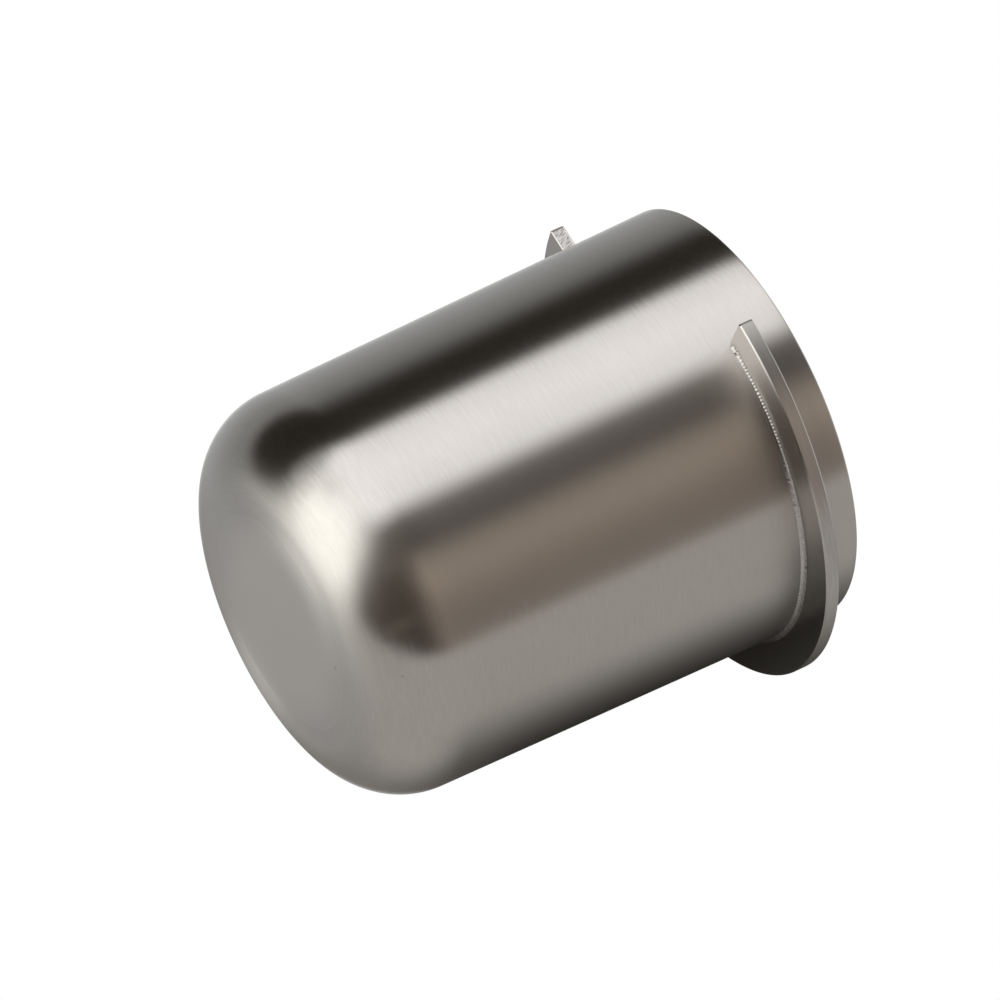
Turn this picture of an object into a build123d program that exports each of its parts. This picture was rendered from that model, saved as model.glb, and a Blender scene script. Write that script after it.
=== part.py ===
"""Deep drawn stainless cup with a welded C-shaped flange.

The cup stands on its closed base, mouth up. The origin is the middle of the base's flat,
+Z runs along the cup's axis to the mouth, and the flange's gap faces -Y.
"""
import os
from math import cos, degrees, radians, sin, tan

from build123d import *

# Cup, drawn from one disc of sheet
mouth_diameter = 58.0       # outside, at the rim
cup_height = 70.5
wall = 1.0
wall_draft = 0.93           # degrees that the wall leans outwards, so that it leaves the punch
corner_radius = 11.0        # outside, where the base turns up into the wall
rim_edge_round = 0.3
rim_round_share = 0.4       # most of the wall's thickness that one rounded edge may take

# Flange, a C-shaped plate that fits the outside of the wall
flange_reach = 5.15         # how far the plate stands out past the mouth's outside
flange_thickness = 2.0
flange_below_rim = 6.25     # from the rim down to the flange's upper face
flange_gap = 92.6           # degrees between the two cut ends
flange_edge_break = 0.2     # chamfer round the rim of both faces
flange_end_break = 0.35     # chamfer where each cut end meets the rim
gap_centre = -90.0          # degrees round the axis, where the gap faces

# Weld bead, a fillet that runs along the flange's lower face
weld_leg = 0.6
weld_crown = 0.07           # how far the bead swells past a straight fillet
weld_slope = 45.0           # degrees that the fillet's face leans, as both its legs are equal
weld_end_margin = 0.5       # from each cut end to the bead's end, along the bead

# Positions worked out from the sizes above
mouth_radius = mouth_diameter / 2
flange_radius = mouth_radius + flange_reach
flange_top = cup_height - flange_below_rim
flange_bottom = flange_top - flange_thickness
flange_span = 360 - flange_gap
flange_start = gap_centre + flange_gap / 2


def skin_radius(z, inset=0.0):
    """Radius of the straight wall at height z, measured inset inside the cup's outer skin."""
    return mouth_radius - (cup_height - z) * tan(radians(wall_draft)) - inset / cos(radians(wall_draft))


def drawn_form(inset, top):
    """Solid form of the cup's skin, set in by inset all round and cut off flat at height top."""
    base_corner = (skin_radius(inset, inset), inset)
    section = make_face(
        Plane.XZ * Polyline((0, inset), base_corner, (skin_radius(top, inset), top), (0, top), close=True)
    )
    turned_corner = section.vertices().sort_by_distance((base_corner[0], 0, base_corner[1]))[0]
    section = fillet(turned_corner, corner_radius - inset)
    return revolve(section, Axis.Z)


def swept_section(outline, start, span):
    """Solid made by turning an outline in the XZ plane about the axis, from start through span degrees.

    Each straight stretch of the outline keeps a face of its own, so the land outside the weld's toe
    stays apart from the strip that the weld covers.
    """
    turned = revolve(make_face(Plane.XZ * outline), Axis.Z, revolution_arc=span, clean=False)
    return Rot(0, 0, start) * turned


def make_cup():
    """One drawn shell of even thickness, its trimmed rim rounded on both edges."""
    shell = drawn_form(0.0, cup_height) - drawn_form(wall, cup_height + wall)
    rim_edges = shell.edges().filter_by_position(Axis.Z, cup_height, cup_height)
    return fillet(rim_edges, min(rim_edge_round, rim_round_share * wall))


def make_flange():
    """C-shaped plate whose tapered bore follows the wall, with broken outer edges and ends."""
    weld_toe = skin_radius(flange_bottom) + weld_leg
    outline = Polyline(
        (skin_radius(flange_bottom), flange_bottom),
        (weld_toe, flange_bottom),
        (flange_radius - flange_edge_break, flange_bottom),
        (flange_radius, flange_bottom + flange_edge_break),
        (flange_radius, flange_top - flange_edge_break),
        (flange_radius - flange_edge_break, flange_top),
        (skin_radius(flange_top), flange_top),
        close=True,
    )
    plate = swept_section(outline, flange_start, flange_span)
    rim_height = flange_thickness - 2 * flange_edge_break
    length_tolerance = 0.01 * rim_height
    end_corners = [
        edge
        for edge in plate.edges().filter_by(Axis.Z)
        if abs(edge.length - rim_height) < length_tolerance
    ]
    return chamfer(end_corners, flange_end_break)


def make_weld_bead():
    """Fillet bead between the wall and the flange's lower face, slightly crowned."""
    root_radius = skin_radius(flange_bottom)
    wall_toe = (skin_radius(flange_bottom - weld_leg), flange_bottom - weld_leg)
    plate_toe = (root_radius + weld_leg, flange_bottom)
    crown = (
        (wall_toe[0] + plate_toe[0]) / 2 + weld_crown * cos(radians(weld_slope)),
        (wall_toe[1] + plate_toe[1]) / 2 - weld_crown * sin(radians(weld_slope)),
    )
    outline = Curve() + [
        Line((root_radius, flange_bottom), wall_toe),
        ThreePointArc(wall_toe, crown, plate_toe),
        Line(plate_toe, (root_radius, flange_bottom)),
    ]
    margin = degrees(weld_end_margin / root_radius)
    return swept_section(outline, flange_start + margin, flange_span - 2 * margin)


nodes = {
    "cup": make_cup(),
    "flange": make_flange(),
    "weld_bead": make_weld_bead(),
}

os.makedirs("parts", exist_ok=True)
for name, solid in nodes.items():
    export_step(solid, f"parts/{name}.step")
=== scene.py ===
"""Deep drawn stainless cup with a welded C-shaped flange, standing on a pale studio floor."""
from functools import partial
from math import atan2, cos, degrees, pi, radians, sin, tan

import bmesh
import bpy
from mathutils import Matrix, Quaternion, Vector


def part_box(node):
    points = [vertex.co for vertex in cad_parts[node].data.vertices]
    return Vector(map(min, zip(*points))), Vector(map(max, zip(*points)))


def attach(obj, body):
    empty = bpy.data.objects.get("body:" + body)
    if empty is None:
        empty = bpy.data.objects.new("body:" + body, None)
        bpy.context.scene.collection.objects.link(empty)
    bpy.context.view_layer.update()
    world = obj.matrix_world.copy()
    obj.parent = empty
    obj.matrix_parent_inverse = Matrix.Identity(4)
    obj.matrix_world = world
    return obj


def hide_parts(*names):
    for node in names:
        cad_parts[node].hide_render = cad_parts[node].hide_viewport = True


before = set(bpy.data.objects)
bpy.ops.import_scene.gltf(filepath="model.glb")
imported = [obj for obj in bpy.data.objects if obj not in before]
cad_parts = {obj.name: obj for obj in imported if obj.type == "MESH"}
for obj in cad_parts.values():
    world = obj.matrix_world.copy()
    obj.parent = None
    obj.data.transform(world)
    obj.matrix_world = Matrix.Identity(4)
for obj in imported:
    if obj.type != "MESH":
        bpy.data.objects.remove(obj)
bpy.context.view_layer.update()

# Drawn cup.
# One disc of 1 mm stainless sheet, deep drawn over a punch to a flat base, a large corner and a tapered
# wall, then trimmed, its rim edges rounded and its outside brushed round and round while it turned.
MM = 0.001
CUP_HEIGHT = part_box("cup")[1].z
MOUTH_RADIUS = 29.0 * MM
SHEET = 1.0 * MM
WALL_DRAFT = radians(0.93)
CORNER_RADIUS = 11.0 * MM
RIM_ROUND = 0.3 * MM
CORNER_STEPS = 48
WALL_STEPS = 36
RIM_STEPS = 6
TURN_STEPS = 448
BASE_STEPS = 40
FLAT_RADIUS = 10.0 * MM
EASE_TILT = radians(4.5)
EASE_END = radians(45)


def skin_radius(height, inset=0.0):
    """Radius of the straight wall at a height, measured inset inside the cup's outer skin."""
    return MOUTH_RADIUS - (CUP_HEIGHT - height) * tan(WALL_DRAFT) - inset / cos(WALL_DRAFT)


def arc_points(centre, radius, first, last, steps):
    """Points along an arc in the section plane, its angles in radians from the outward direction."""
    turned = [first + (last - first) * step / steps for step in range(steps + 1)]
    return [(centre[0] + radius * cos(angle), centre[1] + radius * sin(angle)) for angle in turned]


def line_points(first, last, steps):
    """Points along a straight line in the section plane, without its first and last points."""
    shares = [step / steps for step in range(1, steps)]
    return [tuple(a + (b - a) * share for a, b in zip(first, last)) for share in shares]


def eased(share):
    """Share from 0 to 1 given a soft start and a soft end."""
    return share * share * (3 - 2 * share)


def corner_points(middle, radius, steps):
    """Points round the corner from the base to the wall, raised where the flat has eased into it."""
    eased_in = radius * cos(EASE_TILT - pi / 2) + middle[0] - FLAT_RADIUS
    raised = eased_in * tan(EASE_TILT) / 2 - radius * (1 - cos(EASE_TILT))
    turned = []
    for step in range(steps + 1):
        angle = EASE_TILT - pi / 2 + (pi / 2 - EASE_TILT - WALL_DRAFT) * step / steps
        share = min(1.0, (angle + pi / 2 - EASE_TILT) / (pi / 2 - EASE_TILT - EASE_END))
        lift = raised * (1 - eased(share))
        turned.append((middle[0] + radius * cos(angle), middle[1] + radius * sin(angle) + lift))
    return turned


def base_points(level, edge, steps):
    """Points from the middle of the base to its edge: flat, then easing up towards the corner."""
    rings = [edge[0] * step / steps for step in range(steps)]
    rise = (edge[1] - level) / (edge[0] - FLAT_RADIUS) ** 2
    return [(ring, level + rise * max(0.0, ring - FLAT_RADIUS) ** 2) for ring in rings]


def cup_section():
    """Half section of the shell, from the middle of the base outside to its middle inside.

    The inside of the base and its corner are seen less closely, so they have half the steps.
    """
    corner_middle = (skin_radius(CORNER_RADIUS, CORNER_RADIUS), CORNER_RADIUS)
    outer_corner = corner_points(corner_middle, CORNER_RADIUS, CORNER_STEPS)
    inner_corner = corner_points(corner_middle, CORNER_RADIUS - SHEET, CORNER_STEPS // 2)[::-1]
    rim_height = CUP_HEIGHT - RIM_ROUND
    outer_rim = arc_points((skin_radius(rim_height, RIM_ROUND), rim_height),
                           RIM_ROUND, -WALL_DRAFT, pi / 2, RIM_STEPS)
    inner_rim = arc_points((skin_radius(rim_height, SHEET - RIM_ROUND), rim_height),
                           RIM_ROUND, pi / 2, pi - WALL_DRAFT, RIM_STEPS)
    return [*base_points(0.0, outer_corner[0], BASE_STEPS), *outer_corner,
            *line_points(outer_corner[-1], outer_rim[0], WALL_STEPS), *outer_rim,
            *inner_rim, *line_points(inner_rim[-1], inner_corner[0], WALL_STEPS),
            *inner_corner, *base_points(SHEET, inner_corner[-1], BASE_STEPS // 2)[::-1]]


def placed(name, data):
    """Object with the given data, put in the scene."""
    thing = bpy.data.objects.new(name, data)
    bpy.context.scene.collection.objects.link(thing)
    return thing


def add_node(tree, kind, inputs=(), **settings):
    """A node with its settings made and its inputs given as sockets to link or values to set."""
    node = tree.nodes.new(kind)
    for name, value in settings.items():
        setattr(node, name, value)
    for key, value in dict(inputs).items():
        if isinstance(value, bpy.types.NodeSocket):
            tree.links.new(value, node.inputs[key])
        else:
            node.inputs[key].default_value = value
    return node


def maths(tree, operation, *values):
    """Result of a maths node on sockets or numbers."""
    return add_node(tree, "ShaderNodeMath", enumerate(values), operation=operation).outputs[0]


def vector_maths(tree, operation, *values):
    """Vector result of a vector maths node on sockets or vectors."""
    return add_node(tree, "ShaderNodeVectorMath", enumerate(values), operation=operation).outputs["Vector"]


def length_maths(tree, operation, *values):
    """Length or distance that a vector maths node gives."""
    return add_node(tree, "ShaderNodeVectorMath", enumerate(values), operation=operation).outputs["Value"]


def scaled(tree, vector, size):
    """Vector made longer or shorter."""
    return add_node(tree, "ShaderNodeVectorMath", {0: vector, "Scale": size}, operation="SCALE").outputs[0]


def vector_of(tree, x, y, z):
    """Vector with the three given parts."""
    return add_node(tree, "ShaderNodeCombineXYZ", {"X": x, "Y": y, "Z": z}).outputs[0]


def noise_at(tree, place, detail, scale=1.0):
    """Noise at a place, mostly between NOISE_SPAN's two values."""
    return add_node(tree, "ShaderNodeTexNoise",
                    {"Vector": place, "Scale": scale, "Detail": detail}).outputs["Fac"]


def ranged(tree, value, span, result, **settings):
    """Value taken from one span of numbers to another, and held at its ends."""
    return add_node(tree, "ShaderNodeMapRange", {
        "Value": value, "From Min": span[0], "From Max": span[1],
        "To Min": result[0], "To Max": result[1]}, **settings).outputs[0]


def node_tree_with(name, sockets):
    """Geometry node tree with a geometry in and out, and the named inputs between."""
    tree = bpy.data.node_groups.new(name, "GeometryNodeTree")
    tree.interface.new_socket("Geometry", in_out="INPUT", socket_type="NodeSocketGeometry")
    for label, kind in sockets.items():
        tree.interface.new_socket(label, in_out="INPUT", socket_type="NodeSocket" + kind)
    tree.interface.new_socket("Geometry", in_out="OUTPUT", socket_type="NodeSocketGeometry")
    return tree, tree.nodes.new("NodeGroupInput").outputs, tree.nodes.new("NodeGroupOutput").inputs


def section_grid(tree, given, columns):
    """Grid with a row for each of the section's points, and the row and column of each grid point."""
    grid = add_node(tree, "GeometryNodeMeshGrid",
                    {"Vertices X": given["Section Points"], "Vertices Y": columns})
    index = add_node(tree, "GeometryNodeInputIndex").outputs[0]
    row = maths(tree, "FLOOR", maths(tree, "DIVIDE", index, columns))
    return grid.outputs["Mesh"], row, maths(tree, "MODULO", index, columns)


def evenly_turned_grid(tree, given):
    """Grid whose columns stand for even turns of the section, and each point's row, share and angle."""
    grid, row, column = section_grid(tree, given, maths(tree, "ADD", given["Turn Steps"], 1.0))
    share = maths(tree, "DIVIDE", column, given["Turn Steps"])
    angle = maths(tree, "MULTIPLY_ADD", share, given["Turn Angle"], given["Start Angle"])
    return grid, row, share, angle


def section_place(tree, given, row):
    """Place in the section of a row's point."""
    place = add_node(tree, "GeometryNodeInputPosition").outputs[0]
    return add_node(tree, "GeometryNodeSampleIndex", {
        "Geometry": given["Geometry"], "Value": place, "Index": row}, data_type="FLOAT_VECTOR").outputs[0]


def turned_mesh(tree, grid, place, angle):
    """Grid moved to its places in the section, each turned by its angle about the cup's axis."""
    turned = add_node(tree, "ShaderNodeVectorRotate", {"Vector": place, "Angle": angle},
                      rotation_type="Z_AXIS")
    return add_node(tree, "GeometryNodeSetPosition",
                    {"Geometry": grid, "Position": turned.outputs[0]}).outputs[0]


def close_tree(tree, given, mesh, result):
    """Merges the seam and the poles, smooths the shading and gives the mesh its finish."""
    merged = add_node(tree, "GeometryNodeMergeByDistance",
                      {"Geometry": mesh, "Distance": given["Merge Distance"]})
    smooth = add_node(tree, "GeometryNodeSetShadeSmooth", {"Geometry": merged.outputs[0]})
    real = add_node(tree, "GeometryNodeRealizeInstances", {"Geometry": smooth.outputs[0]})
    finished = add_node(tree, "GeometryNodeSetMaterial",
                        {"Geometry": real.outputs[0], "Material": given["Finish"]})
    tree.links.new(finished.outputs[0], result[0])


TURN_SOCKETS = {"Section Points": "Int", "Turn Steps": "Int", "Start Angle": "Float",
                "Turn Angle": "Float", "Merge Distance": "Float", "Finish": "Material"}


def lathe_tree():
    """Tree that turns a half section into a closed skin."""
    tree, given, result = node_tree_with("turn_section", TURN_SOCKETS)
    grid, row, _, angle = evenly_turned_grid(tree, given)
    close_tree(tree, given, turned_mesh(tree, grid, section_place(tree, given, row), angle), result)
    return tree


def grown_mesh(name, section, tree, values):
    """Runs a tree on a section's points and keeps the result as a plain mesh object, faces outwards."""
    points = bpy.data.meshes.new(name + "_section")
    points.from_pydata([(radius, 0.0, height) for radius, height in section], [], [])
    maker = placed(name + "_maker", points)
    modifier = maker.modifiers.new("grow", "NODES")
    modifier.node_group = tree
    identifiers = {item.name: item.identifier for item in tree.interface.items_tree
                   if item.in_out == "INPUT"}
    for label, value in {"Section Points": len(section), **values}.items():
        modifier[identifiers[label]] = value
    evaluated = maker.evaluated_get(bpy.context.evaluated_depsgraph_get())
    mesh = bpy.data.meshes.new_from_object(evaluated)
    mesh.name = name
    bpy.data.objects.remove(maker)
    shell = bmesh.new()
    shell.from_mesh(mesh)
    bmesh.ops.recalc_face_normals(shell, faces=shell.faces)
    shell.to_mesh(mesh)
    shell.free()
    return placed(name, mesh)


def bare_material(name):
    """Material whose node tree is still empty, and the tree."""
    material = bpy.data.materials.new(name)
    material.use_nodes = True
    material.node_tree.nodes.clear()
    return material, material.node_tree


# Each layer of brush lines has a spacing and a length as shares of the finish's own, a detail and a weight.
LINE_LAYERS = ((1.0, 1.0, 3.0, 0.6), (2.2, 1.2, 2.0, 0.4))
NOISE_SPAN = (0.3, 0.7)
NOISE_MIDDLE = 0.5
CLOUD_SCALE = 45.0
CLOUD_DETAIL = 2.0
CLOUD_CONTRAST = 0.015
SPOT_CORE = 0.4
QUARTER_TURN = 0.25


def steel(name, tone, gloss, lean, grain, line_length, bump, tilt=0.0, contrast=0.045, uneven=0.08, fade=None,
          pit_shades=()):
    """Brushed steel whose fine lines run round the cup's axis.

    The tone is the metal's colour. Its gloss is how rough it shines, its lean how much further that
    spreads across the lines. The grain is the lines' spacing, the bump their depth, the tilt how far
    single lines lean along their run, and the contrast how much lighter and darker than the tone they
    are. Uneven is how much the gloss varies. A fade is two heights and the gloss's share at each of
    them. The last list is painted shade that darkens the tone round small pits, each a place, a
    radius and a share of the tone.
    """
    material, tree = bare_material(name)
    reckon = partial(maths, tree)
    place = add_node(tree, "ShaderNodeTexCoord").outputs["Object"]
    split = add_node(tree, "ShaderNodeSeparateXYZ", {0: place}).outputs
    around = vector_maths(tree, "NORMALIZE", vector_maths(tree, "CROSS_PRODUCT", (0.0, 0.0, 1.0), place))
    off_axis = length_maths(tree, "LENGTH", vector_maths(tree, "MULTIPLY", place, (1.0, 1.0, 0.0)))
    along_skin = reckon("SUBTRACT", split["Z"], off_axis)
    brushed = 0.0
    for wider, longer, detail, weight in LINE_LAYERS:
        lines = vector_of(tree, reckon("DIVIDE", split["X"], line_length * longer),
                          reckon("DIVIDE", split["Y"], line_length * longer),
                          reckon("DIVIDE", along_skin, grain * wider))
        brushed = reckon("MULTIPLY_ADD", noise_at(tree, lines, detail), weight, brushed)
    cloud = noise_at(tree, place, CLOUD_DETAIL, CLOUD_SCALE)
    shade = reckon("MULTIPLY", ranged(tree, brushed, NOISE_SPAN, (1 - contrast, 1 + contrast)),
                   ranged(tree, cloud, NOISE_SPAN, (1 - CLOUD_CONTRAST, 1 + CLOUD_CONTRAST)))
    for middle, radius, darkest in pit_shades:
        away = length_maths(tree, "DISTANCE", place, middle)
        shade = reckon("MULTIPLY", shade, ranged(tree, away, (radius * SPOT_CORE, radius), (darkest, 1.0)))
    rough = gloss
    if uneven:
        rough = ranged(tree, brushed, NOISE_SPAN, (gloss * (1 - uneven), gloss * (1 + uneven)))
    if fade:
        rough = reckon("MULTIPLY", rough, ranged(tree, split["Z"], *fade))
    relief = add_node(tree, "ShaderNodeBump",
                      {"Height": brushed, "Strength": 1.0, "Distance": bump}).outputs[0]
    if tilt:
        lean_along = reckon("MULTIPLY", reckon("SUBTRACT", brushed, NOISE_MIDDLE), tilt)
        leaning = vector_maths(tree, "ADD", relief, scaled(tree, around, lean_along))
        relief = vector_maths(tree, "NORMALIZE", leaning)
    shader = add_node(tree, "ShaderNodeBsdfPrincipled", {
        "Base Color": scaled(tree, tone, shade), "Metallic": 1.0, "Roughness": rough, "Anisotropic": lean,
        "Anisotropic Rotation": QUARTER_TURN, "Tangent": around, "Normal": relief})
    add_node(tree, "ShaderNodeOutputMaterial", {"Surface": shader.outputs[0]})
    return material


STEEL_TONE = (0.63, 0.61, 0.585)
# Painted shade of two small pits in the base, which are not cut into the mesh.
PAINTED_PIT_SHADES = (((13.71 * MM, 2.51 * MM, 0.08 * MM), 0.34 * MM, 0.78),
         ((25.36 * MM, 1.77 * MM, 3.89 * MM), 0.22 * MM, 0.75))
BRUSH_SPACING = 0.08 * MM
WALL_GLOSS = 0.27
WALL_LEAN = 0.985
WALL_START, WALL_FULL = 8.0 * MM, 15.0 * MM
CORNER_SHARE = 0.82
SATIN_GLOSS = 0.25
SATIN_RADIUS = 9.0 * MM
SATIN_CONTRAST = 0.012
BRUSHED_RADIUS = 15.0 * MM
BRUSHED_CONTRAST = 0.032
BASE_FINISHES = 6
brushed_wall = steel("brushed_wall", STEEL_TONE, gloss=WALL_GLOSS, lean=WALL_LEAN, grain=BRUSH_SPACING,
                     line_length=2.6 * MM, bump=0.0004 * MM, tilt=0.016, uneven=0.0,
                     fade=((WALL_START, WALL_FULL), (CORNER_SHARE, 1.0)), pit_shades=PAINTED_PIT_SHADES)
finishes = [brushed_wall]
for number in range(BASE_FINISHES):
    share = number / BASE_FINISHES
    finishes.append(steel(f"satin_base_{number + 1}", STEEL_TONE,
                          gloss=SATIN_GLOSS + (WALL_GLOSS * CORNER_SHARE - SATIN_GLOSS) * share,
                          lean=WALL_LEAN * share, grain=BRUSH_SPACING, line_length=5.0 * MM, bump=0.0002 * MM,
                          contrast=SATIN_CONTRAST + (BRUSHED_CONTRAST - SATIN_CONTRAST) * share,
                          uneven=0.0, pit_shades=PAINTED_PIT_SHADES))

cup = grown_mesh("drawn_cup", cup_section(), lathe_tree(), {
    "Turn Steps": TURN_STEPS, "Start Angle": 0.0, "Turn Angle": 2 * pi, "Merge Distance": 0.002 * MM,
    "Finish": brushed_wall})
cup.data.materials.clear()
for finish in finishes:
    cup.data.materials.append(finish)
for face in cup.data.polygons:
    outwards = (face.center.to_2d().length - SATIN_RADIUS) / (BRUSHED_RADIUS - SATIN_RADIUS)
    if outwards < 1:
        face.material_index = 1 + int(max(0.0, outwards) * BASE_FINISHES)
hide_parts("cup")
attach(cup, "root")

# Flange.
# A C-shaped stainless plate, 2 mm thick, turned to size, its edges broken, then cut through to leave
# the gap and dressed at its two rough-sawn ends. Its tapered bore sits on the wall.
flange_low, flange_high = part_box("flange")
PLATE_BOTTOM = flange_low.z
PLATE_TOP = flange_high.z
PLATE_MIDDLE = (PLATE_BOTTOM + PLATE_TOP) / 2
FLANGE_REACH = 5.15 * MM
FLANGE_RADIUS = MOUTH_RADIUS + FLANGE_REACH
GAP_MIDDLE = radians(-90)
FLANGE_GAP = radians(92.6)
FLANGE_START = GAP_MIDDLE + FLANGE_GAP / 2
FLANGE_SPAN = 2 * pi - FLANGE_GAP
LOWER_EDGE_BREAK = 0.18 * MM
UPPER_EDGE_BREAK = 0.20 * MM
EDGE_SUPPORT = 0.05 * MM
END_BREAK = 0.35 * MM
END_FACE_BREAK = 0.13 * MM
PLATE_STEPS = 72
FLANGE_STEPS = 450
CAP_RINGS = 14
CAP_EDGE = 0.97
SAW_DEPTH = 0.15 * MM
SAW_SPACING = 0.26 * MM
SAW_SLANT = -0.35
SAW_LENGTHS = 4.0
SAW_OTHER_END = 9.0
SHARP_EDGE = radians(30)
SQUARE_ON = 0.8


def flange_section():
    """Closed outline of the plate, from its bore along the lower face, up the rim and back."""
    lower_bore, upper_bore = skin_radius(PLATE_BOTTOM), skin_radius(PLATE_TOP)
    land_end, top_end = FLANGE_RADIUS - LOWER_EDGE_BREAK, FLANGE_RADIUS - UPPER_EDGE_BREAK
    rim_low, rim_high = PLATE_BOTTOM + LOWER_EDGE_BREAK, PLATE_TOP - UPPER_EDGE_BREAK
    rim_heights = (rim_low, rim_low + EDGE_SUPPORT, PLATE_MIDDLE, rim_high - EDGE_SUPPORT, rim_high)
    lower = [(lower_bore, PLATE_BOTTOM),
             *line_points((lower_bore, PLATE_BOTTOM), (land_end - EDGE_SUPPORT, PLATE_BOTTOM), PLATE_STEPS),
             (land_end - EDGE_SUPPORT, PLATE_BOTTOM), (land_end, PLATE_BOTTOM)]
    rim = [(FLANGE_RADIUS, height) for height in rim_heights]
    upper = [(top_end, PLATE_TOP), *[(radius, PLATE_TOP) for radius, _ in reversed(lower[1:-2])]]
    bore = [(upper_bore, PLATE_TOP), ((lower_bore + upper_bore) / 2, PLATE_MIDDLE),
            (lower_bore, PLATE_BOTTOM)]
    return lower + rim + upper + bore


def flange_tree():
    """Tree that turns the plate's outline through its span, breaks its ends and roughens the cuts."""
    sizes = ("Plate Middle", "Plate Thickness", "Rim Radius", "End Break", "End Face Break", "Saw Depth",
             "Saw Spacing")
    tree, given, result = node_tree_with(
        "turn_flange", {**TURN_SOCKETS, "Cap Rings": "Int", **dict.fromkeys(sizes, "Float")})
    reckon = partial(maths, tree)
    columns = reckon("ADD", given["Turn Steps"], reckon("MULTIPLY_ADD", given["Cap Rings"], 2.0, 1.0))
    grid, row, column = section_grid(tree, given, columns)
    last = reckon("SUBTRACT", columns, 1.0)
    from_end = reckon("MINIMUM", column, reckon("SUBTRACT", last, column))
    steps_in = reckon("MAXIMUM", reckon("SUBTRACT", from_end, given["Cap Rings"]), 0.0)
    cap_share = reckon("MINIMUM", reckon("DIVIDE", from_end, given["Cap Rings"]), 1.0)
    far_half = reckon("GREATER_THAN", column, reckon("MULTIPLY", last, 0.5))

    # The first two steps in from each end are as long as its two breaks, and the others are even.
    end_break_angle = reckon("DIVIDE", given["End Break"], given["Rim Radius"])
    face_break_angle = reckon("DIVIDE", given["End Face Break"], given["Rim Radius"])
    even_steps = reckon("SUBTRACT", given["Turn Steps"], 4.0)
    even_span = reckon("SUBTRACT", given["Turn Angle"], reckon("MULTIPLY", end_break_angle, 2.0))
    even_angle = reckon("DIVIDE", even_span, even_steps)
    first_step = reckon("MULTIPLY", reckon("MINIMUM", steps_in, 1.0), face_break_angle)
    second_share = add_node(tree, "ShaderNodeClamp", {0: reckon("SUBTRACT", steps_in, 1.0)}).outputs[0]
    second_step = reckon("MULTIPLY", second_share, reckon("SUBTRACT", end_break_angle, face_break_angle))
    steps_after = reckon("MAXIMUM", reckon("SUBTRACT", steps_in, 2.0), 0.0)
    later_steps = reckon("MULTIPLY", steps_after, even_angle)
    turned_in = reckon("ADD", first_step, reckon("ADD", second_step, later_steps))

    outline = add_node(tree, "ShaderNodeSeparateXYZ", {0: section_place(tree, given, row)}).outputs
    arc_in = reckon("MULTIPLY", turned_in, given["Rim Radius"])
    rim_cut = reckon("MAXIMUM", reckon("SUBTRACT", given["End Break"], arc_in), 0.0)
    radius = reckon("MINIMUM", outline["X"], reckon("SUBTRACT", given["Rim Radius"], rim_cut))
    face_cut = reckon("MAXIMUM", reckon("SUBTRACT", given["End Face Break"], arc_in), 0.0)
    half_thickness = reckon("MULTIPLY", given["Plate Thickness"], 0.5)
    kept = reckon("SUBTRACT", 1.0, reckon("DIVIDE", face_cut, half_thickness))
    squeeze = reckon("MULTIPLY", kept, cap_share)
    off_middle = reckon("SUBTRACT", outline["Z"], given["Plate Middle"])
    height = reckon("MULTIPLY_ADD", off_middle, squeeze, given["Plate Middle"])

    # The saw's marks run across the thickness and break off here and there.
    slanted = reckon("MULTIPLY_ADD", height, SAW_SLANT, radius)
    marks = vector_of(tree, reckon("DIVIDE", slanted, given["Saw Spacing"]),
                      reckon("DIVIDE", height, reckon("MULTIPLY", given["Saw Spacing"], SAW_LENGTHS)),
                      reckon("MULTIPLY", far_half, SAW_OTHER_END))
    inside_cut = reckon("LESS_THAN", cap_share, CAP_EDGE)
    sunk = reckon("MULTIPLY", reckon("MULTIPLY", noise_at(tree, marks, detail=2.0), inside_cut),
                  reckon("DIVIDE", given["Saw Depth"], given["Rim Radius"]))
    turned_in = reckon("ADD", turned_in, sunk)
    from_start = reckon("ADD", given["Start Angle"], turned_in)
    from_finish = reckon("SUBTRACT", reckon("ADD", given["Start Angle"], given["Turn Angle"]), turned_in)
    to_far = reckon("MULTIPLY", reckon("SUBTRACT", from_finish, from_start), far_half)
    angle = reckon("ADD", from_start, to_far)
    close_tree(tree, given, turned_mesh(tree, grid, vector_of(tree, radius, 0.0, height), angle), result)
    return tree


flange_steel = steel("flange_plate", STEEL_TONE, gloss=0.21, lean=0.6, grain=0.11 * MM, line_length=4.0 * MM,
                     bump=0.0007 * MM, tilt=0.06, contrast=0.08)
rim_steel = steel("flange_rim", (0.58, 0.57, 0.555), gloss=0.36, lean=0.3, grain=0.13 * MM,
                  line_length=3.0 * MM, bump=0.0012 * MM, tilt=0.08, contrast=0.12)
sawn_steel = steel("sawn_end", (0.54, 0.525, 0.525), gloss=0.3, lean=0.0, grain=0.3 * MM,
                   line_length=0.3 * MM, bump=0.001 * MM, contrast=0.3)
flange = grown_mesh("welded_flange", flange_section(), flange_tree(), {
    "Turn Steps": FLANGE_STEPS, "Start Angle": FLANGE_START, "Turn Angle": FLANGE_SPAN,
    "Merge Distance": 0.001 * MM, "Finish": flange_steel, "Cap Rings": CAP_RINGS,
    "Plate Middle": PLATE_MIDDLE, "Plate Thickness": PLATE_TOP - PLATE_BOTTOM, "Rim Radius": FLANGE_RADIUS,
    "End Break": END_BREAK, "End Face Break": END_FACE_BREAK, "Saw Depth": SAW_DEPTH,
    "Saw Spacing": SAW_SPACING})
flange.data.set_sharp_from_angle(angle=SHARP_EDGE)
flange.data.materials.clear()
for finish in (flange_steel, rim_steel, sawn_steel):
    flange.data.materials.append(finish)
for face in flange.data.polygons:
    outward = Vector((face.center.x, face.center.y, 0.0)).normalized()
    along = Vector((-outward.y, outward.x, 0.0))
    on_rim, on_end = face.normal.dot(outward) > SQUARE_ON, abs(face.normal.dot(along)) > SQUARE_ON
    face.material_index = 2 if on_end else int(on_rim)
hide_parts("flange")
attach(flange, "root")

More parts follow.
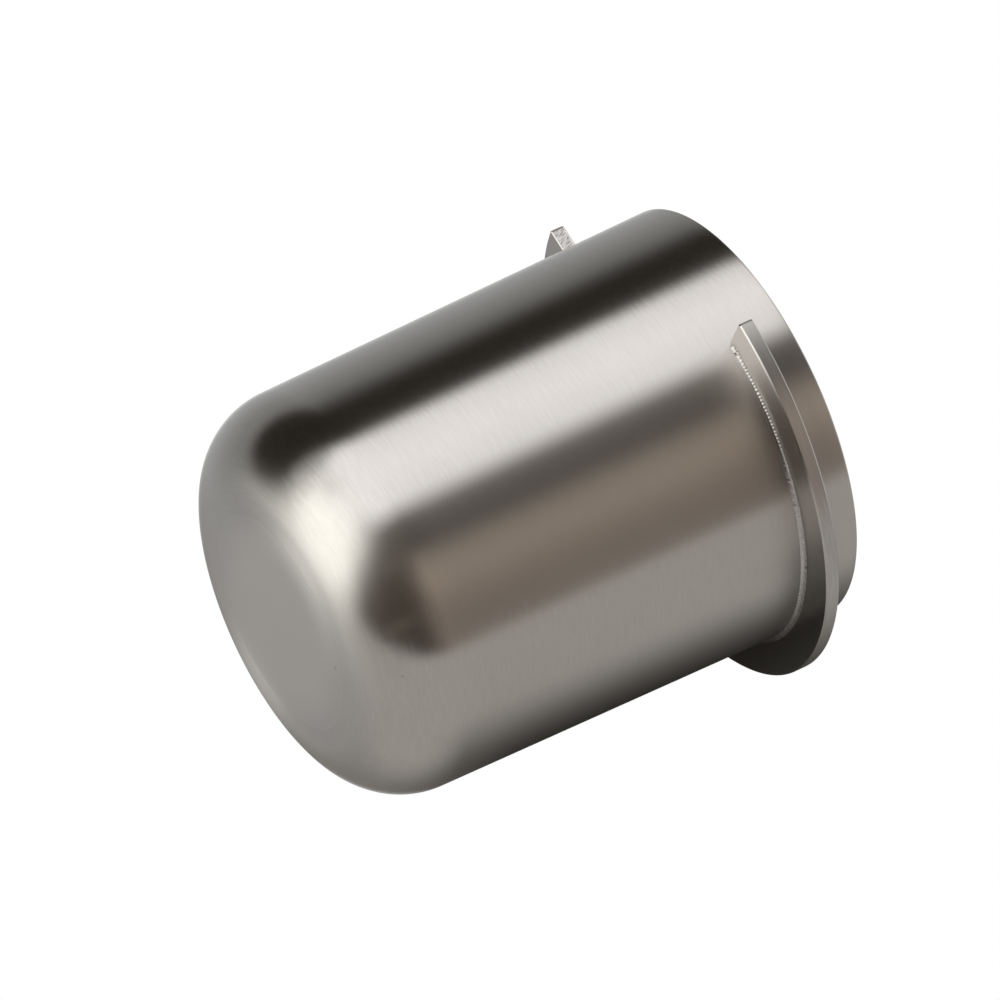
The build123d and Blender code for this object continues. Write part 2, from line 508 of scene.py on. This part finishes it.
# Weld bead.
# A fine fillet of weld metal, laid in one pass along the corner between the wall and the flange's lower
# face. It froze in small even ripples at its start, ran smoother after that, and has a few pits.
WELD_LEG = 0.6 * MM
WELD_HOLLOW = 0.09 * MM
WELD_END_MARGIN = 0.5 * MM
WELD_PITCH = 0.485 * MM
RIPPLE_STEPS = 9
FACE_STEPS = 12
RIPPLE_START = 0.34
RIPPLE_REST = 0.05
RIPPLE_SIDE = 0.8
RIPPLE_WIDTH = 0.42
RIPPLE_REACH = 13.0 * MM
RIPPLE_EASE = 10.0 * MM
RIPPLE_LEVEL = 0.6
DOME_ROUND = 0.96
SMALLEST_RIPPLE, RIPPLE_SPREAD = 0.75, 0.5
WANDER_RATE, WANDER = 600.0, 0.7
FIRST_SIZE = 0.74
LUMPS_START = 0.10
LUMPS_REST = 0.48
LUMP_SIZE = 0.19 * MM
LUMPS_ACROSS = 2.5
WELD_ROOT_RADIUS = skin_radius(PLATE_BOTTOM)
WALL_TOE = (skin_radius(PLATE_BOTTOM - WELD_LEG), PLATE_BOTTOM - WELD_LEG)
PLATE_TOE = (WELD_ROOT_RADIUS + WELD_LEG, PLATE_BOTTOM)
WELD_START = FLANGE_START + WELD_END_MARGIN / WELD_ROOT_RADIUS
WELD_SPAN = FLANGE_SPAN - 2 * WELD_END_MARGIN / WELD_ROOT_RADIUS
WELD_SEED = 3.7
PIT_DEPTH = 0.12 * MM
PIT_RADIUS = 0.2 * MM
# Painted shade round each pit, a little wider than the pit, leaves a twentieth of the metal's tone at its
# middle.
PIT_SHADOW = 1.4 * PIT_RADIUS
PIT_SHADOW_SHARE = 0.05
PITS = ((0.1 * MM, 0.9), (1.4 * MM, 0.3), (32.8 * MM, 0.95))


def face_point(share):
    """Point on the bead's hollow face in the section, by its share of the way from the wall to the plate."""
    hollow = WELD_HOLLOW * sin(pi * share) * cos(pi / 4)
    return (WALL_TOE[0] + (PLATE_TOE[0] - WALL_TOE[0]) * share - hollow,
            WALL_TOE[1] + (PLATE_TOE[1] - WALL_TOE[1]) * share + hollow)


def weld_section():
    """Closed outline of the bead, from its root in the corner to the wall, over its hollow face and back."""
    root = (WELD_ROOT_RADIUS, PLATE_BOTTOM)
    return [root, *[face_point(step / FACE_STEPS) for step in range(FACE_STEPS + 1)], root]


def weld_tree():
    """Tree that lays the bead along the corner and swells it, ripple by ripple, about its root."""
    sizes = ("Root Radius", "Root Height", "Ripple Pitch", "First Ripples", "Later Ripples", "Ripple Side",
             "Ripple Width", "Ripple Reach", "Ripple Ease", "First Size", "First Lumps", "Later Lumps",
             "Lump Size", "End Round", "Seed")
    tree, given, result = node_tree_with("lay_weld", {**TURN_SOCKETS, **dict.fromkeys(sizes, "Float")})
    reckon = partial(maths, tree)
    grid, row, turned_share, angle = evenly_turned_grid(tree, given)
    length = reckon("MULTIPLY", given["Turn Angle"], given["Root Radius"])
    run = reckon("MULTIPLY", turned_share, length)
    face_row, face_rows = reckon("SUBTRACT", row, 1.0), reckon("SUBTRACT", given["Section Points"], 3.0)
    across = reckon("DIVIDE", face_row, face_rows)
    ripples_end = reckon("ADD", given["Ripple Reach"], given["Ripple Ease"])
    settled = ranged(tree, run, (given["Ripple Reach"], ripples_end), (0.0, 1.0),
                     interpolation_type="SMOOTHSTEP")

    def settling(first, later):
        """Value that changes from the first to the later one as the bead settles."""
        return add_node(tree, "ShaderNodeMix", {0: settled, 2: first, 3: later}).outputs[0]

    # Each ripple is a small dome on the plate's side of the bead, and no two are quite the same.
    wandering = add_node(tree, "ShaderNodeTexNoise", {
        "W": reckon("MULTIPLY_ADD", run, WANDER_RATE, given["Seed"]), "Scale": 1.0, "Detail": 1.0},
        noise_dimensions="1D").outputs["Fac"]
    count = reckon("ADD", reckon("DIVIDE", run, given["Ripple Pitch"]), reckon("MULTIPLY", wandering, WANDER))
    number = reckon("FLOOR", count)
    phase = reckon("MULTIPLY_ADD", reckon("SUBTRACT", count, number), 2.0, -1.0)
    fallen = reckon("MULTIPLY", reckon("POWER", phase, 2.0), DOME_ROUND)
    dome = reckon("SQRT", reckon("SUBTRACT", 1.0, fallen))
    chance = add_node(tree, "ShaderNodeTexWhiteNoise", {"W": reckon("ADD", number, given["Seed"])},
                      noise_dimensions="1D").outputs["Value"]
    size = reckon("MULTIPLY_ADD", chance, RIPPLE_SPREAD, SMALLEST_RIPPLE)
    off_side = reckon("DIVIDE", reckon("SUBTRACT", across, given["Ripple Side"]), given["Ripple Width"])
    sideways = reckon("MAXIMUM", reckon("SUBTRACT", 1.0, reckon("POWER", off_side, 2.0)), 0.0)
    lively = settling(given["First Ripples"], given["Later Ripples"])
    ripple = reckon("MULTIPLY", reckon("MULTIPLY", reckon("SUBTRACT", dome, RIPPLE_LEVEL), size),
                    reckon("MULTIPLY", lively, sideways))

    # Past the ripples the bead is lumpy, and it rounds off at both its ends.
    lump_place = vector_of(tree, reckon("DIVIDE", run, given["Lump Size"]),
                           reckon("MULTIPLY", across, LUMPS_ACROSS), given["Seed"])
    lumps = reckon("MULTIPLY", reckon("SUBTRACT", noise_at(tree, lump_place, detail=3.0), NOISE_MIDDLE),
                   settling(given["First Lumps"], given["Later Lumps"]))
    swell = reckon("ADD", reckon("ADD", 1.0, ripple), lumps)
    swell = reckon("MULTIPLY", swell, settling(given["First Size"], 1.0))
    to_end = reckon("MINIMUM", run, reckon("SUBTRACT", length, run))
    end_share = reckon("DIVIDE", to_end, given["End Round"])
    from_tip = reckon("SUBTRACT", 1.0, add_node(tree, "ShaderNodeClamp", {0: end_share}).outputs[0])
    rounded = reckon("SQRT", reckon("SUBTRACT", 1.0, reckon("MULTIPLY", from_tip, from_tip)))
    swell = reckon("MULTIPLY", swell, rounded)

    root = vector_of(tree, given["Root Radius"], 0.0, given["Root Height"])
    off_root = vector_maths(tree, "SUBTRACT", section_place(tree, given, row), root)
    swollen = vector_maths(tree, "ADD", root, scaled(tree, off_root, swell))
    close_tree(tree, given, turned_mesh(tree, grid, swollen, angle), result)
    return tree


def pit_place(run, share):
    """Middle of a pit by its run along the bead and its share of the way across it, and the way inwards."""
    turn = Matrix.Rotation(WELD_START + run / WELD_ROOT_RADIUS, 3, "Z")
    radius, height = face_point(share)
    return turn @ Vector((radius, 0.0, height)), turn @ Vector((-1.0, 0.0, 1.0)).normalized()


def sink_pits(mesh):
    """Sinks the small round pits into the bead."""
    for run, share in PITS:
        middle, inwards = pit_place(run, share)
        for vertex in mesh.vertices:
            gap = (vertex.co - middle).length
            if gap < PIT_RADIUS:
                vertex.co += inwards * PIT_DEPTH * (1 - (gap / PIT_RADIUS) ** 2)


# The weld metal is darkened round its pits as painted shade.
weld_steel = steel("weld_metal", (0.62, 0.605, 0.585), gloss=0.2, lean=0.0, grain=0.2 * MM,
                   line_length=0.5 * MM, bump=0.001 * MM,
                   pit_shades=[(pit_place(run, share)[0], PIT_SHADOW, PIT_SHADOW_SHARE) for run, share in PITS])
weld_ripples = round(WELD_SPAN * WELD_ROOT_RADIUS / WELD_PITCH)
weld_bead = grown_mesh("weld_run", weld_section(), weld_tree(), {
    "Turn Steps": weld_ripples * RIPPLE_STEPS, "Start Angle": WELD_START, "Turn Angle": WELD_SPAN,
    "Merge Distance": 0.0005 * MM, "Finish": weld_steel, "Root Radius": WELD_ROOT_RADIUS,
    "Root Height": PLATE_BOTTOM, "Ripple Pitch": WELD_PITCH, "First Ripples": RIPPLE_START,
    "Later Ripples": RIPPLE_REST, "Ripple Side": RIPPLE_SIDE, "Ripple Width": RIPPLE_WIDTH,
    "Ripple Reach": RIPPLE_REACH, "Ripple Ease": RIPPLE_EASE, "First Size": FIRST_SIZE,
    "First Lumps": LUMPS_START, "Later Lumps": LUMPS_REST, "Lump Size": LUMP_SIZE,
    "End Round": WELD_LEG, "Seed": WELD_SEED})
sink_pits(weld_bead.data)
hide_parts("weld_bead")
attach(weld_bead, "root")

# Camera.
# A long lens from below the base's level on the gap's side, rolled so that the cup's axis climbs to the
# right as in the photograph. The middle of the base falls on the pixel named here.
PICTURE = 1000
FOCAL_PIXELS = 12000
SENSOR = 36.0
CAMERA_DISTANCE = 1551.65 * MM
CAMERA_AZIMUTH = radians(63.75)
CAMERA_ELEVATION = radians(-21.84)
AXIS_CLIMB = radians(24.69)
BASE_PIXEL = (279.5, 622.4)
FAR_CLIP = 10.0

back = Vector((sin(CAMERA_AZIMUTH) * cos(CAMERA_ELEVATION),
               -cos(CAMERA_AZIMUTH) * cos(CAMERA_ELEVATION),
               sin(CAMERA_ELEVATION)))
upright = (-back).to_track_quat("-Z", "Y")
camera_turn = upright @ Quaternion((0, 0, 1), pi / 2 - AXIS_CLIMB)
right, up = camera_turn @ Vector((1, 0, 0)), camera_turn @ Vector((0, 1, 0))
metres_per_pixel = CAMERA_DISTANCE / FOCAL_PIXELS
aside = (BASE_PIXEL[0] - PICTURE / 2) * metres_per_pixel
above = (PICTURE / 2 - BASE_PIXEL[1]) * metres_per_pixel

lens = bpy.data.cameras.new("camera")
lens.sensor_width = SENSOR
lens.lens = FOCAL_PIXELS * SENSOR / PICTURE
lens.clip_end = FAR_CLIP
camera = placed("camera", lens)
camera.rotation_mode = "QUATERNION"
camera.rotation_quaternion = camera_turn
camera.location = back * CAMERA_DISTANCE - right * aside - up * above
bpy.context.scene.camera = camera

# Studio cards.
# A ball of lit and dark cards that only the metal sees. Each place is told from the camera: degrees away
# from it, and degrees round it by the clock, 0 to the picture's right and 90 to its top.
STUDIO_RADIUS = 4.0
STUDIO_STEP = 1.5
ROOM = (0.125, 0.11, 0.095)
DARK_ROOM = (0.066, 0.053, 0.043)
ROOM_LAMP = (0.30, 0.26, 0.22)
DARK_GAP = (0.035, 0.033, 0.030)
FLOOR_SHADE = (0.030, 0.031, 0.030)
BROWN_WALL = (0.45, 0.375, 0.31)
BROWN_LOW = (0.27, 0.225, 0.19)
TABLE = (0.45, 0.43, 0.405)
TABLE_FAR = (0.25, 0.24, 0.225)
TABLE_END = (0.40, 0.395, 0.39)
TABLE_GLOW = (0.53, 0.515, 0.49)
WHITE_SOFTBOX = (1.27, 1.25, 1.235)
CREAM_SOFTBOX = (1.60, 1.585, 1.50)
SOFTBOX_GAP = (0.55, 0.54, 0.52)
BLACK_FLAG = (0.026, 0.0225, 0.018)
PAPER_NEAR = (0.265, 0.26, 0.25)
PAPER_FAR = (0.485, 0.50, 0.51)
OPEN_SKY = (0.62, 0.62, 0.61)
SURROUND_WHITE = (1.0, 1.0, 1.0)

# What light that has met both the flange and the wall finds elsewhere.
ROOM_AGAIN = (0.22, 0.195, 0.17)
ROOM_AGAIN_SHARE = 0.35
TABLE_AGAIN = (0.21, 0.20, 0.19)
TABLE_AGAIN_FROM, TABLE_AGAIN_TO = (78, 24), (122, 20)
NEARER = (8, -9)
MIRRORED_TWICE = 1.5

# An edge is a place and the width it softens over. A card is a clock angle, an angle away, a radius and
# the width of its edge.
CLOSE_EDGE = (38, 36)
DARK_SIDE, DARK_SIDE_WIDTH, DARK_SIDE_SPREAD = 220, 30, 40
DARK_SIDE_END = (345, 20)
DARK_GAP_CARD = (36, 47, 8, 12)
FLOOR_SHADE_CARD = (292, 40, 6, 14)
ROOM_LAMP_CARDS = ((241, 43, 2.5, 5), (252, 35, 2.5, 5), (267, 29, 2.5, 5))
ROOM_LAMP_SHARE = 0.6
BROWN_RISE = (-3, 20)
BROWN_TOP = (20, 14)
BROWN_FAR = (88, 24)
BROWN_SIDE, BROWN_SIDE_WIDTH = 28.5, 7
BROWN_BEND, BROWN_BEND_LEAN = -18, 0.6
TABLE_FADE = (130, 36)
TABLE_END_FADE = (150, 12)
TABLE_END_NEAR = (118, 30)
TABLE_END_SIDE = (214, 12)
TABLE_GLOW_CARD = (212, 98, 12, 24)
TABLE_CLOCK, TABLE_AWAY, TABLE_RADIUS, TABLE_WIDTH = 272, 139, 93, 14
TABLE_LEFT, TABLE_LEFT_CUT = (228, 60), 13
TABLE_RIGHT, TABLE_RIGHT_CUT = (320, 40), 5
TABLE_SHARPER, TABLE_SHARPER_CUT = (250, 60), 5
CREAM_SIDE = (150, 40)
SOFTBOX_BEND = -8
SOFTBOX_TOP = ((0, 28), (0.857, 0.5142), 16)
SOFTBOX_SIDE = ((-18, 20), (0.574, 0.82), 30)
SOFTBOX_LOW = ((-39, -15), (0.832, 0.554), 26)
SOFTBOX_FROM, SOFTBOX_TO = (58.5, 14), (206, 16)
SOFTBOX_MIDWAY = (72, 24)
SOFTBOX_END = (129, 12)
SOFTBOX_DIMMING, SOFTBOX_DIMMED = (112, 44), 0.38
SOFTBOX_GAP_CARDS = ((139, 57, 5, 17), (132, 69, 5, 17), (147, 71, 5, 17))
SOFTBOX_GAP_SHARE = 0.9
PAPER_FADE = (142, 50)
FLAG_END = (116, 13)
FLAG_CLOCK, FLAG_AWAY, FLAG_RADIUS, FLAG_WIDTH = 129, 119.5, 51.5, 9
FLAG_SHIFT = 3
FLAG_SOFTER, FLAG_SOFTER_BY = (116, 40), 12
NOTCH_FROM, NOTCH_TO, NOTCH_END, NOTCH_DEPTH = (94, 12), (158, 26), (110, 30), 3
FLAG_CORNER_CARD = (72, 112, 18, 14)
SKY_EDGE = (145, 16)
RIM_AWAY, RIM_WIDTH = 165, 8
RIM_LOW_FROM, RIM_LOW_TO, RIM_LOW_BY = (285, 20), (345, 20), 6
RIM_LEFT_FROM, RIM_LEFT_TO, RIM_LEFT_BY = (196, 12), (228, 16), 13


def seen_from_camera(clock, away):
    """Unit direction from the cup, given as its clock angle and its angle away from the camera."""
    around = right * cos(radians(clock)) + up * sin(radians(clock))
    return back * cos(radians(away)) + around * sin(radians(away))


def soft(value, edge, width):
    """Share from 0 to 1 as a value passes an edge, eased over a width."""
    return eased(min(1.0, max(0.0, (value - edge) / width + 0.5)))


def band(value, rise, fall):
    """Share from 0 to 1 and back to 0 as a value passes a rising and then a falling edge."""
    return soft(value, *rise) * (1 - soft(value, *fall))


def past_line(x, y, through, climb, width):
    """Share of the side beyond a soft line through a place, its climb given as its run and its rise."""
    return soft(climb[0] * (y - through[1]) - climb[1] * (x - through[0]), 0, width)


def mixed(first, second, share):
    """Colour between two colours."""
    return tuple(a + (b - a) * share for a, b in zip(first, second))


def card(direction, clock, away, radius, width):
    """Share of a soft-edged round card that a direction meets, its middle placed from the camera."""
    return 1 - soft(degrees(direction.angle(seen_from_camera(clock, away))), radius, width)


def room_light(direction, clock, away, again):
    """The bare room: its dark lower side, a dark gap, the floor's shade and three small lamps."""
    dark_width = DARK_SIDE_WIDTH + DARK_SIDE_SPREAD * (1 - soft(away, *CLOSE_EDGE))
    light = mixed(ROOM, DARK_ROOM, band(clock, (DARK_SIDE, dark_width), DARK_SIDE_END))
    light = mixed(light, DARK_GAP, card(direction, *DARK_GAP_CARD))
    light = mixed(light, FLOOR_SHADE, card(direction, *FLOOR_SHADE_CARD))
    if again:
        light = mixed(light, ROOM_AGAIN, ROOM_AGAIN_SHARE)
    for lamp_card in ROOM_LAMP_CARDS:
        light = mixed(light, ROOM_LAMP, ROOM_LAMP_SHARE * card(direction, *lamp_card))
    return light


def with_brown_wall(light, x, y, away):
    """Adds the brown wall to the right, whose side edge bends outwards low down."""
    brown = mixed(BROWN_LOW, BROWN_WALL, soft(y, *BROWN_RISE))
    side = BROWN_SIDE + BROWN_BEND_LEAN * max(0.0, BROWN_BEND - y)
    share = soft(x, side, BROWN_SIDE_WIDTH) * (1 - soft(y, *BROWN_TOP)) * (1 - soft(away, *BROWN_FAR))
    return mixed(light, brown, share)


def with_table(light, direction, clock, away, again):
    """Adds the table below, duller far off, with a cooler left end and one glowing place."""
    colour = mixed(TABLE, TABLE_FAR, soft(away, *TABLE_FADE))
    end_colour = mixed(TABLE_END, TABLE_FAR, soft(away, *TABLE_END_FADE))
    colour = mixed(colour, end_colour, soft(away, *TABLE_END_NEAR) * (1 - soft(clock, *TABLE_END_SIDE)))
    colour = mixed(colour, TABLE_GLOW, card(direction, *TABLE_GLOW_CARD))
    if again:
        colour = mixed(colour, TABLE_AGAIN, band(away, TABLE_AGAIN_FROM, TABLE_AGAIN_TO))
    left, right_end = 1 - soft(clock, *TABLE_LEFT), soft(clock, *TABLE_RIGHT)
    radius = TABLE_RADIUS - TABLE_LEFT_CUT * left - TABLE_RIGHT_CUT * right_end
    width = TABLE_WIDTH - TABLE_SHARPER_CUT * soft(clock, *TABLE_SHARPER)
    return mixed(light, colour, card(direction, TABLE_CLOCK, TABLE_AWAY, radius, width))


def with_softbox(light, direction, x, y, clock, away):
    """Adds the large softbox above and to the left, white to cream, with three duller gaps in it."""
    near_lit = max(past_line(max(x, SOFTBOX_BEND), y, *SOFTBOX_TOP),
                   past_line(x, y, *SOFTBOX_SIDE) * past_line(x, y, *SOFTBOX_LOW))
    far_lit = band(clock, SOFTBOX_FROM, SOFTBOX_TO)
    lit = near_lit + (far_lit - near_lit) * soft(away, *SOFTBOX_MIDWAY)
    lit *= (1 - soft(away, *SOFTBOX_END)) * (1 - SOFTBOX_DIMMED * soft(away, *SOFTBOX_DIMMING))
    colour = mixed(WHITE_SOFTBOX, CREAM_SOFTBOX, soft(clock, *CREAM_SIDE))
    for gap_card in SOFTBOX_GAP_CARDS:
        colour = mixed(colour, SOFTBOX_GAP, SOFTBOX_GAP_SHARE * card(direction, *gap_card))
    return mixed(light, colour, lit)


def with_flag(light, direction, clock, away):
    """Adds the black flag behind the softbox, notched on its near side, and the paper past it."""
    paper = mixed(PAPER_NEAR, PAPER_FAR, soft(away, *PAPER_FADE))
    colour = mixed(BLACK_FLAG, paper, soft(away, *FLAG_END))
    notch = band(clock, NOTCH_FROM, NOTCH_TO) * (1 - soft(away, *NOTCH_END))
    share = card(direction, FLAG_CLOCK + FLAG_SHIFT * soft(clock, *CREAM_SIDE), FLAG_AWAY,
                 FLAG_RADIUS - NOTCH_DEPTH * notch, FLAG_WIDTH + FLAG_SOFTER_BY * soft(clock, *FLAG_SOFTER))
    return mixed(mixed(light, colour, share), BLACK_FLAG, card(direction, *FLAG_CORNER_CARD))


def studio_light(direction, again=False):
    """Light that comes to the cup from a direction, card over card from the furthest to the nearest.

    Again is for light that the flange and the wall throw to each other before it leaves. Both are far
    from the base, so the near cards stand elsewhere for them.
    """
    away = degrees(direction.angle(back))
    clock = degrees(atan2(direction.dot(up), direction.dot(right))) % 360
    x, y = away * cos(radians(clock)), away * sin(radians(clock))
    if again:
        x, y = x - NEARER[0], y - NEARER[1]
    light = room_light(direction, clock, away, again)
    light = with_brown_wall(light, x, y, away)
    light = with_table(light, direction, clock, away, again)
    light = with_softbox(light, direction, x, y, clock, away)
    light = with_flag(light, direction, clock, away)
    light = mixed(light, OPEN_SKY, soft(degrees(direction.angle(Vector((0, 0, -1)))), *SKY_EDGE))
    rim = (RIM_AWAY + RIM_LOW_BY * band(clock, RIM_LOW_FROM, RIM_LOW_TO)
           + RIM_LEFT_BY * band(clock, RIM_LEFT_FROM, RIM_LEFT_TO))
    return mixed(light, SURROUND_WHITE, soft(away, rim, RIM_WIDTH))


def hide_but_from_metal(thing):
    """Leaves a thing of the studio in the metal's reflections alone."""
    thing.visible_camera = False
    thing.visible_diffuse = False
    thing.visible_shadow = False


ball = bmesh.new()
bmesh.ops.create_uvsphere(ball, u_segments=round(360 / STUDIO_STEP), v_segments=round(180 / STUDIO_STEP),
                          radius=STUDIO_RADIUS)
ball_mesh = bpy.data.meshes.new("studio_cards")
ball.to_mesh(ball_mesh)
ball.free()
for name, again in (("light", False), ("light_again", True)):
    painted = ball_mesh.color_attributes.new(name, "FLOAT_COLOR", "POINT")
    for vertex, point in zip(ball_mesh.vertices, painted.data):
        point.color = (*studio_light(vertex.co.normalized(), again), 1.0)
card_paint, card_tree = bare_material("studio_light")
first = add_node(card_tree, "ShaderNodeAttribute", attribute_name="light").outputs["Color"]
second = add_node(card_tree, "ShaderNodeAttribute", attribute_name="light_again").outputs["Color"]
mirrored = add_node(card_tree, "ShaderNodeLightPath").outputs["Glossy Depth"]
twice = maths(card_tree, "GREATER_THAN", mirrored, MIRRORED_TWICE)
card_colour = add_node(card_tree, "ShaderNodeMix", {"Factor": twice, 6: first, 7: second}, data_type="RGBA")
glow = add_node(card_tree, "ShaderNodeEmission", {"Color": card_colour.outputs[2]})
add_node(card_tree, "ShaderNodeOutputMaterial", {"Surface": glow.outputs[0]})
card_paint.cycles.emission_sampling = "NONE"
ball_mesh.materials.append(card_paint)
cards = placed("studio_cards", ball_mesh)
hide_but_from_metal(cards)

# Table shade.
# The soft dark patch that the cup's own shade leaves on a table behind it, seen by the metal alone. The
# table stands along the cup, at the flange's rim, and leans in towards the base.
TABLE_SHADE = (0.018, 0.016, 0.014)
TABLE_TURN = radians(146)
TABLE_LEAN = radians(5.7)
TABLE_NEAR = 27.9 * MM
SHADE_SIDE = 41.0 * MM
SHADE_SIDE_EASE = 60.0 * MM
SHADE_BASE = 12.0 * MM
SHADE_MOUTH = 12.0 * MM
SHADE_END_EASE = 30.0 * MM
SHADE_STEPS = 48

camera_side = atan2(back.y, back.x)
outward = Vector((cos(camera_side + TABLE_TURN), sin(camera_side + TABLE_TURN), 0.0))
sideways = outward.cross(Vector((0, 0, 1)))
shade_reach = SHADE_SIDE + SHADE_SIDE_EASE / 2
shade_low, shade_high = -SHADE_END_EASE, CUP_HEIGHT + 2 * SHADE_END_EASE
shade_corners, shade_depths = [], []
for row in range(SHADE_STEPS + 1):
    height = shade_low + (shade_high - shade_low) * row / SHADE_STEPS
    in_line = band(height, (SHADE_BASE, SHADE_END_EASE), (CUP_HEIGHT + SHADE_MOUTH, SHADE_END_EASE))
    for column in range(SHADE_STEPS + 1):
        aside = -shade_reach + 2 * shade_reach * column / SHADE_STEPS
        shade_corners.append(outward * (TABLE_NEAR + height * tan(TABLE_LEAN)) + sideways * aside
                             + Vector((0, 0, height)))
        shade_depths.append((1 - soft(abs(aside), SHADE_SIDE, SHADE_SIDE_EASE)) * in_line)
row_width = SHADE_STEPS + 1
shade_faces = [(corner, corner + 1, corner + row_width + 1, corner + row_width)
               for row in range(SHADE_STEPS) for corner in range(row * row_width, (row + 1) * row_width - 1)]
shade_mesh = bpy.data.meshes.new("table_shade")
shade_mesh.from_pydata(shade_corners, [], shade_faces)
shade_mesh.attributes.new("depth", "FLOAT", "POINT").data.foreach_set("value", shade_depths)
shade_paint, shade_tree = bare_material("table_shade")
depth = add_node(shade_tree, "ShaderNodeAttribute", attribute_name="depth").outputs["Fac"]
clear = add_node(shade_tree, "ShaderNodeBsdfTransparent")
dark = add_node(shade_tree, "ShaderNodeEmission", {"Color": (*TABLE_SHADE, 1.0)})
blend = add_node(shade_tree, "ShaderNodeMixShader", {0: depth, 1: clear.outputs[0], 2: dark.outputs[0]})
add_node(shade_tree, "ShaderNodeOutputMaterial", {"Surface": blend.outputs[0]})
shade_paint.cycles.emission_sampling = "NONE"
shade_mesh.materials.append(shade_paint)
patch = placed("table_shade", shade_mesh)
hide_but_from_metal(patch)

# Surround.
# A white surround, seen in full by the camera and by reflections, that lights the rest more gently.
SURROUND_LIGHT = 0.6

world = bpy.data.worlds.new("surround")
bpy.context.scene.world = world
world.use_nodes = True
surround = world.node_tree
surround.nodes.clear()
ray = add_node(surround, "ShaderNodeLightPath").outputs
seen = maths(surround, "MAXIMUM", ray["Is Camera Ray"],
             maths(surround, "MAXIMUM", ray["Is Glossy Ray"], ray["Is Transmission Ray"]))
glow = add_node(surround, "ShaderNodeBackground", {
    "Color": (*SURROUND_WHITE, 1.0), "Strength": ranged(surround, seen, (0.0, 1.0), (SURROUND_LIGHT, 1.0))})
add_node(surround, "ShaderNodeOutputWorld", {"Surface": glow.outputs[0]})

# Floor.
# A matt pale sheet just under the base. It is open from below, where the camera stands.
FLOOR_SIZE = 3.0
FLOOR_LEVEL = -0.1 * MM
FLOOR_TONE = (0.85, 0.85, 0.85, 1.0)

half = FLOOR_SIZE / 2
floor_mesh = bpy.data.meshes.new("floor")
floor_mesh.from_pydata([(-half, -half, FLOOR_LEVEL), (half, -half, FLOOR_LEVEL),
                        (half, half, FLOOR_LEVEL), (-half, half, FLOOR_LEVEL)], [], [(0, 1, 2, 3)])
floor_paint, floor_tree = bare_material("floor_paint")
matt = add_node(floor_tree, "ShaderNodeBsdfDiffuse", {"Color": FLOOR_TONE})
clear = add_node(floor_tree, "ShaderNodeBsdfTransparent")
underneath = add_node(floor_tree, "ShaderNodeNewGeometry").outputs["Backfacing"]
one_sided = add_node(floor_tree, "ShaderNodeMixShader",
                     {0: underneath, 1: matt.outputs[0], 2: clear.outputs[0]})
add_node(floor_tree, "ShaderNodeOutputMaterial", {"Surface": one_sided.outputs[0]})
floor_mesh.materials.append(floor_paint)
floor = placed("floor", floor_mesh)
floor.visible_glossy = False

# Lamp.
# One large plain square lamp, overhead and to one side, kept out of the metal's reflections.
LAMP_SIZE = 0.8
LAMP_PLACE = (-0.5, -0.4, 1.2)
LAMP_POWER = 14.0

lamp_data = bpy.data.lights.new("overhead_lamp", "AREA")
lamp_data.size = LAMP_SIZE
lamp_data.energy = LAMP_POWER
lamp = placed("overhead_lamp", lamp_data)
lamp.location = LAMP_PLACE
lamp.rotation_mode = "QUATERNION"
lamp.rotation_quaternion = (-lamp.location).to_track_quat("-Z", "Y")
lamp.visible_glossy = False

bpy.context.scene.view_settings.view_transform = "Standard"
